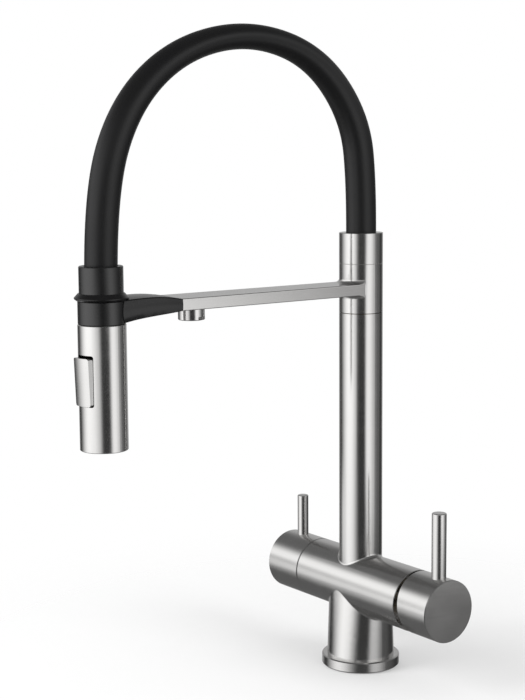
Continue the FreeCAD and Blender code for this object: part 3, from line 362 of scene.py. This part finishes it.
def hairlines(recipe, squeeze):
    """Noise of the point times a squeeze per axis: a large number there means many lines to a metre."""
    stretched = [axis * many for axis, many in zip(recipe.object_axes(), squeeze)]
    return recipe.noise(recipe.vector(*stretched), 1.0, HAIR_DETAIL, FINE_ROUGHNESS)


def steel(name, brushing, second=None, where=None, satin=SATIN, pale=STEEL, dark=STEEL_DARK):
    """Brushed metal: hairlines set the height, and with soft clouds the roughness and the tint.

    The second brushing holds where the mask, a function of x, y and z, is 1.
    """
    material, recipe = new_finish(name, {"Metallic": 1.0})
    place = recipe.object_axes()
    lines = hairlines(recipe, brushing)
    if second:
        there = where(*place)
        lines = lines * (1 - there) + hairlines(recipe, second) * there
    clouds = recipe.noise(recipe.vector(*place), PATCH)
    recipe.feed(recipe.shader.inputs["Base Color"], recipe.mix(lines * 0.5 + clouds * 0.5, dark, pale))
    rough = satin + (lines - 0.5) * SATIN_SPREAD + (clouds - 0.5) * SATIN_SPREAD
    recipe.feed(recipe.shader.inputs["Roughness"], rough)
    bump(recipe, lines, HAIR_DEPTH)
    return material


print("hairlines to a metre", HAIRLINE)

# %% [markdown]
# A welded piece has two directions of brushing. The body is brushed round its cross tube and round its
# barrel, the arm along itself and round its sleeve, and a handle round its side and across its end. A mask
# that is worked out from the point's place changes one pattern for the other, so the piece needs no cuts or
# painting.

# %% Where the brushing changes direction
MASK_START = 0.0001      # outside a radius, where the change begins
MASK_WIDTH = 0.0005
SLEEVE_MASK_WIDTH = 0.0009
END_DEPTH = 0.0004       # how deep in from a handle's end face its own brushing reaches
MIXER_SATIN = 0.2
TURNED_SATIN = 0.14
CROSS_HEIGHT = 0.0625
CROSS_RADIUS = 0.0225
SLEEVE_RADIUS = 0.016
mixer_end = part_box("mixer_handle")[1][0]
filter_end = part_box("filter_handle")[0][0]


def off_the_cross(x, y, z):
    """1 on the barrel, foot and neck: further from the cross tube's axis than its radius."""
    start = CROSS_RADIUS + MASK_START
    return ((y * y + (z - CROSS_HEIGHT) ** 2) ** 0.5).step(start, start + MASK_WIDTH)


def on_the_sleeve(x, y, z):
    """1 on the arm's sleeve round the column, which is its radius from the Z axis."""
    start = SLEEVE_RADIUS + MASK_START
    return ((x * x + y * y) ** 0.5).step(start + SLEEVE_MASK_WIDTH, start)


def on_the_mixer_end(x, y, z):
    """1 on the mixer handle's end face."""
    return x.step(mixer_end - END_DEPTH, mixer_end)


def on_the_filter_end(x, y, z):
    """1 on the filtered water handle's end face."""
    return x.step(filter_end + END_DEPTH, filter_end)


paint(steel("steel_tee", ROUND_X, ROUND_Z, off_the_cross), "tee_body")
paint(steel("steel_arm", ALONG_Y, ROUND_Z, on_the_sleeve), "outlet_arm")
paint(steel("steel_mixer", ROUND_X, ROUND_Z, on_the_mixer_end, MIXER_SATIN), "mixer_handle")
paint(steel("steel_filter", ROUND_X, ROUND_Z, on_the_filter_end), "filter_handle")
paint(steel("steel_tube", ROUND_Z), "riser_tube", "hose_sleeve", "spray_barrel", "base_ring",
      "mixer_lever_pin", "filter_lever_pin", "rocker_button")
paint(steel("steel_turned", ROUND_Z, satin=TURNED_SATIN), "outlet_nozzle", "rocker_pin", "holder_screws",
      "mixer_grub_screw", "filter_grub_screw", "tilt_pin", "lever_stem", "swivel_clip_ring", "arm_plug")
print("steel nodes", len(painted))

# %% [markdown]
# The black pieces are of three kinds. The collar and the band are moulded plastic with a fine spark eroded
# grain. The holder is the same but less shiny, and the hose is rubber with a rougher, bluer black. The hidden
# pieces get their own finishes too, so that nothing looks unfinished when the tap is taken apart: acetal,
# lapped ceramic and brass.

# %% Plastic, rubber, ceramic and brass
LIGHTER = 1.25           # times the colour, at the pale end of the shading
DARKER = 0.8
GRAIN_SPREAD = 0.16      # of the roughness, by the grain
CLOUD_SPREAD = 0.08      # of the roughness, by the soft clouds
BRASS = (0.66, 0.50, 0.25, 1.0)
BRASS_DARK = (0.52, 0.38, 0.17, 1.0)
BRASS_SATIN = 0.3


def grained(name, colour, roughness, grain, depth, shine=0.5):
    """A moulded finish: fine noise sets the height and the roughness; wide noise shades the colour."""
    material, recipe = new_finish(name, {"Specular IOR Level": shine})
    point = recipe.vector(*recipe.object_axes())
    fine = recipe.noise(point, grain, roughness=FINE_ROUGHNESS)
    wide = recipe.noise(point, PATCH)
    lighter = tuple(channel * LIGHTER for channel in colour) + (1.0,)
    darker = tuple(channel * DARKER for channel in colour) + (1.0,)
    recipe.feed(recipe.shader.inputs["Base Color"], recipe.mix(wide * 0.6 + fine * 0.4, darker, lighter))
    rough = (fine - 0.5) * GRAIN_SPREAD + (wide - 0.5) * CLOUD_SPREAD + roughness
    recipe.feed(recipe.shader.inputs["Roughness"], rough)
    bump(recipe, fine, depth)
    return material


black_plastic = grained("black_plastic", (0.0060, 0.0060, 0.0064), 0.27, 5200.0, 0.000006, shine=0.75)
holder_plastic = grained("holder_plastic", (0.0055, 0.0055, 0.0058), 0.24, 5200.0, 0.000005, shine=0.42)
hose_rubber = grained("hose_rubber", (0.0042, 0.0042, 0.0047), 0.43, 3600.0, 0.000012, shine=0.45)
seal_rubber = grained("seal_rubber", (0.02, 0.02, 0.021), 0.6, 4200.0, 0.00002)
grey_plastic = grained("grey_plastic", (0.30, 0.31, 0.32), 0.42, 4800.0, 0.00001)
ceramic = grained("ceramic", (0.74, 0.73, 0.70), 0.2, 6000.0, 0.000002)
brass = steel("brass", ROUND_Z, satin=BRASS_SATIN, pale=BRASS, dark=BRASS_DARK)
paint(holder_plastic, "spray_holder")
paint(black_plastic, "head_collar", "head_band", "spray_faceplate", "spray_core", "hose_guide")
paint(hose_rubber, hose, "mixed_water_hose", "filtered_water_tube", "spout_hose")
paint(seal_rubber, "base_gasket", "swivel_seals", "spray_nozzles")
paint(grey_plastic, "lower_bush", "upper_bush", "mixer_cartridge", "stem_carrier", "cartridge_seat",
      "outlet_insert", "stream_insert")
paint(ceramic, "fixed_disc", "moving_disc")
paint(brass, "inlet_plate", "swivel_manifold", "hose_connector", "swivel_nut", "cartridge_nut",
      "filter_headwork", "filter_spindle")
print("nodes with no finish", sorted(set(nodes) - painted))

# %% [markdown]
# Metal shows the room more than itself, so the studio matters. It is a dark room with a soft box on each
# side of the camera, a dim wall on the right and a glow behind the tap. The gap between the boxes draws the
# dark stripe down every tube, and the wall keeps a tube's right edge from going black. Each of them is a
# stretch of the compass that rises from dark, stays lit and falls back. There are three sets, for what a
# surface sees low down, level with itself and high up. Only reflections see the room. Straight to the camera
# it is plain white, and it lights the object evenly. An environment picture could do this, but boxes are easy
# to move.

# %% The studio around the object
FRONT_TURN = math.radians(-35.655)     # the direction from the object towards the camera, seen from above
ALL_LEFT = (-200, -190)                # edges past the compass's ends: the box is lit right up to them
ALL_RIGHT = (190, 200)
LEVEL_WALL = 0.05
LEVEL_BOXES = [                        # brightness, degrees where it rises, degrees where it falls
    (1.5, (-135, -70), (-50, -10)),    # left box
    (1.2, (15, 35), (45, 90)),         # right box
    (0.1, (60, 90), (95, 125)),        # dim wall on the right
    (0.45, ALL_LEFT, (-175, -135)),    # glow behind, in two halves
    (0.45, (130, 160), ALL_RIGHT),
]
LOW_WALL = 0.05
LOW_BOXES = [
    (1.2, (-130, -75), (-70, -10)),
    (0.6, (15, 35), (45, 85)),
    (0.05, (60, 90), (95, 125)),
    (0.35, ALL_LEFT, (-160, -135)),
    (0.35, (140, 160), ALL_RIGHT),
]
HIGH_WALL = 0.4
HIGH_BOXES = [
    (0.8, (-135, -105), (-50, -20)),
    (0.2, (-135, -105), (-20, 20)),    # what the left box spills over the gap
    (0.7, (20, 35), (80, 110)),
    (0.1, ALL_LEFT, (-180, -155)),
    (0.1, (120, 175), ALL_RIGHT),
]
CEILING = 0.16
GROUND = 0.14
LOW_EDGE = (-7, -19)                   # degrees above level, where one set gives way to the next
HIGH_EDGE = (1, 13)
CEILING_EDGE = (20, 39)
GROUND_EDGE = (-18, -34)
AMBIENT = 0.62


def compass(x, y):
    """Degrees from -180 to 180, seen from above, from the direction of the camera's place to (x, y)."""
    ahead = x * math.cos(FRONT_TURN) + y * math.sin(FRONT_TURN)
    aside = y * math.cos(FRONT_TURN) - x * math.sin(FRONT_TURN)
    return aside.turn_from(ahead) * math.degrees(1.0)


def glow(turn, wall, boxes):
    """The wall's level plus, for each box, its brightness times a smooth rise times a smooth fall."""
    level = wall
    for brightness, rise, (lit_to, dark_from) in boxes:
        level = turn.step(*rise) * turn.step(dark_from, lit_to) * brightness + level
    return level


def studio_pattern(recipe):
    """Brightness of the room by compass angle and by height above level, both in degrees."""
    x, y, z = recipe.axes("Generated")
    turn = compass(x, y)
    height = z.arcsine() * math.degrees(1.0)
    low, high = height.step(*LOW_EDGE), height.step(*HIGH_EDGE)
    room = glow(turn, LEVEL_WALL, LEVEL_BOXES) * (1 - low) * (1 - high)
    room = room + glow(turn, LOW_WALL, LOW_BOXES) * low + glow(turn, HIGH_WALL, HIGH_BOXES) * high
    overhead, underneath = height.step(*CEILING_EDGE), height.step(*GROUND_EDGE)
    room = room * (1 - overhead) + overhead * CEILING
    return room * (1 - underneath) + underneath * GROUND


def light_the_room():
    """White to the camera and through glass, the room in reflections, and an even level for the rest."""
    world = bpy.data.worlds.new("studio")
    world.use_nodes = True
    bpy.context.scene.world = world
    world.cycles.sampling_method = "NONE"
    recipe = Recipe(world.node_tree)
    background = world.node_tree.nodes["Background"]
    background.inputs["Color"].default_value = (1.0, 1.0, 1.0, 1.0)
    camera_ray, glossy_ray, glass_ray = [recipe.node("ShaderNodeLightPath", {}, {}, output=f"Is {kind} Ray")
                                         for kind in ("Camera", "Glossy", "Transmission")]
    plain = camera_ray.at_least(glass_ray)
    level = plain + glossy_ray * studio_pattern(recipe) + (1 - plain).at_most(1 - glossy_ray) * AMBIENT
    recipe.feed(background.inputs["Strength"], level)


light_the_room()
print("lit stretches of the room", len(LEVEL_BOXES) + len(LOW_BOXES) + len(HIGH_BOXES))

# %% [markdown]
# Three bounce cards stand near the tap. Because they are near, the spray head and the column see them at
# different angles, as in a real studio: the head's dark stripe is narrower and further round than the
# column's. The third is low and lights only the lower front of the cross tube. Each card is a strip of an
# upright cylinder, and its glow is again made of boxes. It fades at its top and bottom, and only reflections
# see it.

# %% Bounce cards
HEAD_PLACE = (0.0, -0.2185)
COLUMN_PLACE = (0.0, 0.0)
CARD_STEPS = 25
CARD_FADE = 0.03
LEFT_CARD = (0.05, [(0.6, ALL_LEFT, (-45, -5)), (0.7, ALL_LEFT, (-15, 5))])
RIGHT_CARD = (0.05, [(1.25, (32, 52), (60, 105)), (0.1, (70, 95), ALL_RIGHT)])
LOW_CARD = (0.1, [(0.9, (-135, -105), ALL_RIGHT), (0.4, (-100, -75), ALL_RIGHT)])


def card_strip(name, middle, distance, span, heights):
    """Point = middle + distance times (cos, sin) of the turn, at two heights."""
    turn = FRONT_TURN + np.radians(np.linspace(*span, CARD_STEPS))
    x, y = middle[0] + distance * np.cos(turn), middle[1] + distance * np.sin(turn)
    rows = [np.stack([x, y, np.full(CARD_STEPS, height)], axis=1) for height in heights]
    j = np.arange(CARD_STEPS - 1)
    faces = np.stack([j, j + 1, j + 1 + CARD_STEPS, j + CARD_STEPS], axis=1)
    return link_mesh(name, np.concatenate(rows), faces)


def surface_mix(name, factor, first, second):
    """A material that mixes two shaders; each of the three is a function of the recipe."""
    material = bpy.data.materials.new(name)
    material.use_nodes = True
    tree = material.node_tree
    tree.nodes.remove(tree.nodes["Principled BSDF"])
    recipe = Recipe(tree)
    mixed = recipe.node("ShaderNodeMixShader", {}, {0: factor(recipe), 1: first(recipe), 2: second(recipe)})
    recipe.feed(tree.nodes["Material Output"].inputs["Surface"], mixed)
    return material


def clear(recipe):
    return recipe.node("ShaderNodeBsdfTransparent", {}, {})


def bounce_card(name, middle, distance, span, heights, light, fade=CARD_FADE):
    """A glowing strip that only reflections see; span is its two compass angles round the middle."""
    def glowing(recipe):
        x, y, _ = recipe.object_axes()
        level = glow(compass(x - middle[0], y - middle[1]), *light)
        return recipe.node("ShaderNodeEmission", {}, {"Color": level, "Strength": 1.0})

    def solid(recipe):
        z = recipe.object_axes()[2]
        return z.step(heights[0], heights[0] + fade) * z.step(heights[1], heights[1] - fade)

    card = card_strip(name, middle, distance, span, heights)
    card.data.materials.append(surface_mix(name, solid, clear, glowing))
    for kind in ("camera", "diffuse", "transmission", "volume_scatter", "shadow"):
        setattr(card, "visible_" + kind, False)


bounce_card("card_left", HEAD_PLACE, 0.33, (-44, 6), (0.04, 0.28), LEFT_CARD)
bounce_card("card_right", HEAD_PLACE, 0.62, (8, 116), (-0.03, 0.27), RIGHT_CARD)
bounce_card("card_low", COLUMN_PLACE, 0.40, (-132, -76), (-0.07, 0.095), LOW_CARD, fade=0.07)
print("bounce cards round", [round(v, 4) for v in HEAD_PLACE])

# %% [markdown]
# Two soft lamps shade what isn't metal. They light the object, but reflections don't see them: the room's
# boxes stand for them there.

# %% Lamps
LAMP_TARGET = (0.0, -0.1, 0.24)


def soft_box(name, place, size, power):
    """A square area lamp whose -Z looks from its place at the target."""
    data = bpy.data.lights.new(name, "AREA")
    data.size = size
    data.energy = power
    lamp = bpy.data.objects.new(name, data)
    bpy.context.scene.collection.objects.link(lamp)
    lamp.location = place
    away = np.array(place) - np.array(LAMP_TARGET)
    tip = math.acos(away[2] / np.linalg.norm(away))
    lamp.rotation_euler = (tip, 0, math.atan2(away[1], away[0]) + math.pi / 2)
    lamp.visible_glossy = False


soft_box("box_left", (-0.5, -1.5, 1.1), 1.0, 17.0)
soft_box("box_right", (1.5, 0.35, 0.9), 0.8, 10.0)

# %% [markdown]
# The floor is a pale disc that catches the shadow. It fades into the white room at its rim, so no horizon
# shows.

# %% The floor
FLOOR_RADIUS = 1.6
FLOOR_SIDES = 96
FLOOR_FADE = (0.04, 0.44)
FLOOR_VEIL = 0.2         # how much of the white room shows through the floor everywhere
FLOOR_PALE = (0.98, 0.98, 0.98, 1.0)


def floor_veil(recipe):
    """0 is floor and 1 is white room: it grows with the distance from the middle."""
    x, y, _ = recipe.object_axes()
    return ((x * x + y * y) ** 0.5).step(*FLOOR_FADE).at_least(FLOOR_VEIL)


def matt(recipe):
    return recipe.node("ShaderNodeBsdfDiffuse", {}, {"Color": FLOOR_PALE})


def add_floor():
    """A flat disc: point = radius times (cos, sin) of the turn. Metal doesn't mirror it."""
    turn = np.linspace(0, 2 * np.pi, FLOOR_SIDES, endpoint=False)
    rim = np.stack([FLOOR_RADIUS * np.cos(turn), FLOOR_RADIUS * np.sin(turn), 0 * turn], axis=1)
    floor = link_mesh("floor", rim, [list(range(FLOOR_SIDES))])
    floor.data.materials.append(surface_mix("floor", floor_veil, matt, clear))
    floor.visible_glossy = False


add_floor()
print("floor radius", FLOOR_RADIUS)

# %% [markdown]
# Last, the view settings: Standard shows colours as they are written.

# %% Finish
bpy.context.scene.view_settings.view_transform = "Standard"
